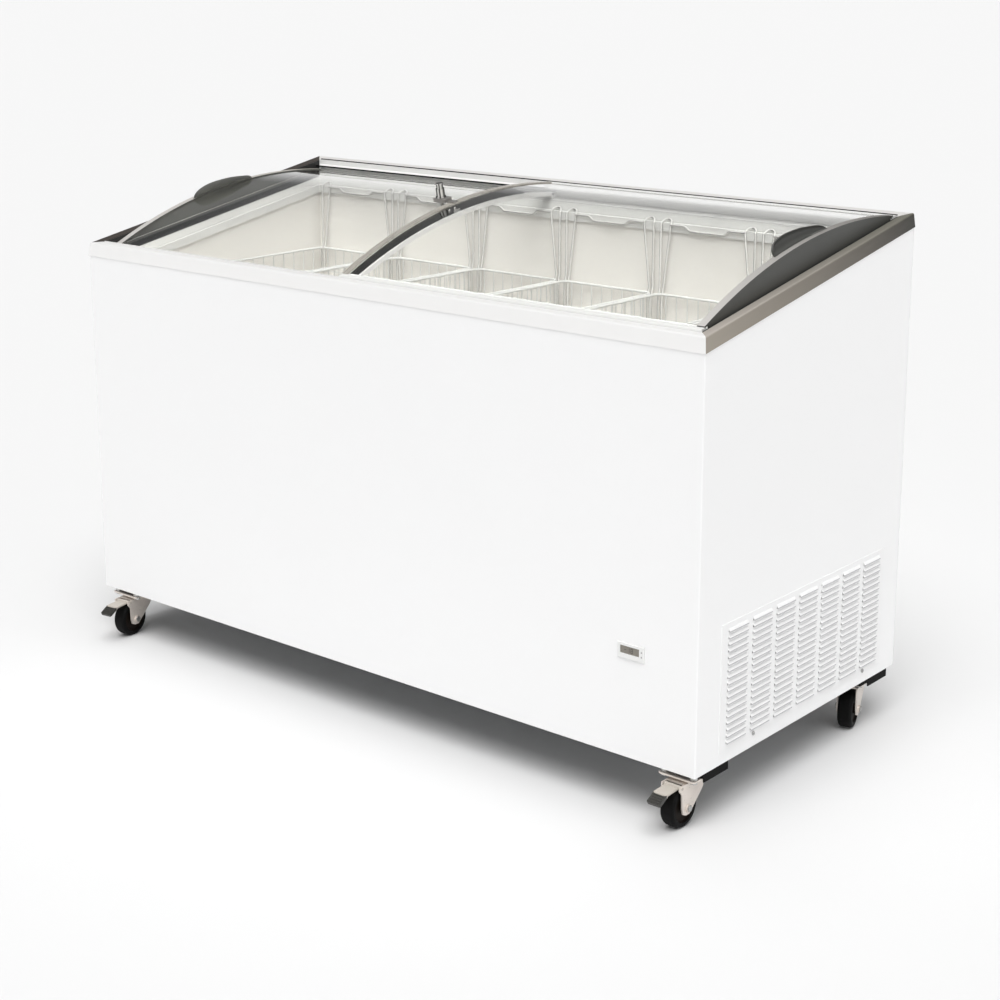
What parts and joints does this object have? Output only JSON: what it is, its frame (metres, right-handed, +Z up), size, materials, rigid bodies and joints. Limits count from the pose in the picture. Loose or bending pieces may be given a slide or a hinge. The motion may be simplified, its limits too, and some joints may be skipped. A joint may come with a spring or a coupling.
{
  "type": "chest freezer",
  "caption": "Display chest freezer with a sloping top, sliding curved glass lids, hanging baskets, a side grille and swivel casters.",
  "frame": {"origin": "on the floor, at the centre of the footprint's bounding box, brake pedals included", "axes": "+X along the front to the viewer's right, +Y to the back, +Z up"},
  "size_m": [1.5607, 0.7585, 1.0074],
  "materials": {
    "white_steel": "gloss white paint, faint orange peel",
    "grille_white": "satin white paint",
    "galvanised": "galvanised sheet",
    "foam": "rigid insulation foam, matt",
    "liner": "off-white sheet, satin",
    "collar": "off-white moulding, satin",
    "drain_grey": "grey moulding",
    "rail_front": "satin anodised",
    "rail_side": "satin anodised, warm grey",
    "track_light": "light grey extrusion",
    "trim_black": "black extrusion",
    "screw_steel": "zinc plated",
    "bezel_white": "white moulding",
    "display": "liquid crystal window",
    "compressor_black": "satin black paint",
    "mount_rubber": "black rubber",
    "coil_metal": "dull fins",
    "fan_grey": "grey moulding",
    "copper": "drawn copper",
    "lid_glass": "clear toughened glass",
    "slider_dark": "grey sliding bar",
    "lid_dark": "dark grey moulding, fine texture",
    "lid_silver": "satin",
    "seal_black": "black strip",
    "lock_dark": "dark plating",
    "lock_chrome": "polished",
    "caster_zinc": "zinc plated pressing",
    "caster_black": "black rubber and hub",
    "pedal_steel": "plated steel with a dark pad",
    "basket_wire": "plastic coated wire"
  },
  "bodies": {
    "cabinet": {"outer_shell": "white_steel", "rear_panel": "white_steel", "grille_panel": "grille_white", "base_pan": "galvanised", "insulation_foam": "foam", "inner_liner": "liner", "liner_collar": "collar", "drain_plug": "drain_grey", "front_rail": "rail_front", "rear_rail": "rail_front", "left_rail": "rail_side", "right_rail": "rail_side", "front_track": "track_light", "rear_track": "track_light", "side_trims": "trim_black", "panel_screws": "screw_steel", "caster_bolts": "screw_steel", "thermometer_bezel": "bezel_white", "thermometer_display": "display", "compressor": "compressor_black", "relay_box": "compressor_black", "condenser_fan_housing": "compressor_black", "compressor_mounts": "mount_rubber", "cord_inlet": "mount_rubber", "corner_skids": "mount_rubber", "condenser_coil": "coil_metal", "filter_drier": "copper", "caster_plates": "caster_zinc"},
    "fan": {"fan_blade": "fan_grey"},
    "upper_lid": {"upper_lid_glass": "lid_glass", "upper_lid_sliders": "slider_dark", "upper_lid_gable": "lid_dark", "upper_lid_handle": "lid_dark", "upper_lid_strip": "lid_silver", "upper_lid_seal": "seal_black", "lock_bracket": "lock_dark", "lock_barrel": "lock_chrome"},
    "lock_bolt": {"lock_plunger": "lock_chrome"},
    "lower_lid": {"lower_lid_glass": "lid_glass", "lower_lid_sliders": "slider_dark", "lower_lid_gable": "lid_dark", "lower_lid_handle": "lid_dark", "lower_lid_strip": "lid_silver", "lock_keeper": "lock_dark"},
    "basket_1": {"basket_1": "basket_wire"},
    "basket_2": {"basket_2": "basket_wire"},
    "basket_3": {"basket_3": "basket_wire"},
    "basket_4": {"basket_4": "basket_wire"},
    "basket_5": {"basket_5": "basket_wire"},
    "basket_6": {"basket_6": "basket_wire"},
    "front_right_swivel": {"front_right_fork": "caster_zinc"},
    "front_right_roller": {"front_right_wheel": "caster_black"},
    "front_right_pedal": {"front_right_brake_pedal": "pedal_steel"},
    "front_left_swivel": {"front_left_fork": "caster_zinc"},
    "front_left_roller": {"front_left_wheel": "caster_black"},
    "front_left_pedal": {"front_left_brake_pedal": "pedal_steel"},
    "rear_right_swivel": {"rear_right_fork": "caster_zinc"},
    "rear_right_roller": {"rear_right_wheel": "caster_black"},
    "rear_left_swivel": {"rear_left_fork": "caster_zinc"},
    "rear_left_roller": {"rear_left_wheel": "caster_black"}
  },
  "joints": [
    {"name": "upper_lid_slide", "type": "slide", "parent": "cabinet", "child": "upper_lid", "axis": [1, 0, 0], "range_m": [-0.6, 0]},
    {"name": "lower_lid_slide", "type": "slide", "parent": "cabinet", "child": "lower_lid", "axis": [1, 0, 0], "range_m": [0, 0.6]},
    {"name": "lock_push", "type": "slide", "parent": "upper_lid", "child": "lock_bolt", "axis": [0, 0.1839, -0.9829], "range_m": [0, 0.008], "stiffness_N_per_m": 300, "springref_m": -0.004},
    {"name": "fan_spin", "type": "hinge", "parent": "cabinet", "child": "fan", "pos_m": [0.705, -0.0962, 0.225], "axis": [1, 0, 0], "continuous": true},
    {"name": "front_right_swivel_turn", "type": "hinge", "parent": "cabinet", "child": "front_right_swivel", "pos_m": [0.737, -0.2732, 0.0815], "axis": [0, 0, 1], "continuous": true},
    {"name": "front_right_wheel_roll", "type": "hinge", "parent": "front_right_swivel", "child": "front_right_roller", "pos_m": [0.737, -0.3012, 0.0375], "axis": [1, 0, 0], "continuous": true},
    {"name": "front_right_pedal_lift", "type": "hinge", "parent": "front_right_swivel", "child": "front_right_pedal", "pos_m": [0.737, -0.3192, 0.0786], "axis": [-1, 0, 0], "range_deg": [0, 14]},
    {"name": "front_left_swivel_turn", "type": "hinge", "parent": "cabinet", "child": "front_left_swivel", "pos_m": [-0.7165, -0.2742, 0.0815], "axis": [0, 0, 1], "continuous": true},
    {"name": "front_left_wheel_roll", "type": "hinge", "parent": "front_left_swivel", "child": "front_left_roller", "pos_m": [-0.7126, -0.30193, 0.0375], "axis": [0.9903, 0.1392, 0], "continuous": true},
    {"name": "front_left_pedal_lift", "type": "hinge", "parent": "front_left_swivel", "child": "front_left_pedal", "pos_m": [-0.7101, -0.31975, 0.0786], "axis": [-0.9903, -0.1392, 0], "range_deg": [0, 14]},
    {"name": "rear_right_swivel_turn", "type": "hinge", "parent": "cabinet", "child": "rear_right_swivel", "pos_m": [0.737, 0.2868, 0.0815], "axis": [0, 0, 1], "continuous": true},
    {"name": "rear_right_wheel_roll", "type": "hinge", "parent": "rear_right_swivel", "child": "rear_right_roller", "pos_m": [0.74519, 0.26002, 0.0375], "axis": [0.9563, 0.2924, 0], "continuous": true},
    {"name": "rear_left_swivel_turn", "type": "hinge", "parent": "cabinet", "child": "rear_left_swivel", "pos_m": [-0.737, 0.2868, 0.0815], "axis": [0, 0, 1], "continuous": true},
    {"name": "rear_left_wheel_roll", "type": "hinge", "parent": "rear_left_swivel", "child": "rear_left_roller", "pos_m": [-0.74377, 0.25963, 0.0375], "axis": [0.9703, -0.2419, 0], "continuous": true},
    {"name": "basket_1_lift", "type": "slide", "parent": "cabinet", "child": "basket_1", "axis": [0, 0, 1], "range_m": [0, 0.018]},
    {"name": "basket_2_lift", "type": "slide", "parent": "cabinet", "child": "basket_2", "axis": [0, 0, 1], "range_m": [0, 0.018]},
    {"name": "basket_3_lift", "type": "slide", "parent": "cabinet", "child": "basket_3", "axis": [0, 0, 1], "range_m": [0, 0.018]},
    {"name": "basket_4_lift", "type": "slide", "parent": "cabinet", "child": "basket_4", "axis": [0, 0, 1], "range_m": [0, 0.018]},
    {"name": "basket_5_lift", "type": "slide", "parent": "cabinet", "child": "basket_5", "axis": [0, 0, 1], "range_m": [0, 0.018]},
    {"name": "basket_6_lift", "type": "slide", "parent": "cabinet", "child": "basket_6", "axis": [0, 0, 1], "range_m": [0, 0.018]}
  ]
}
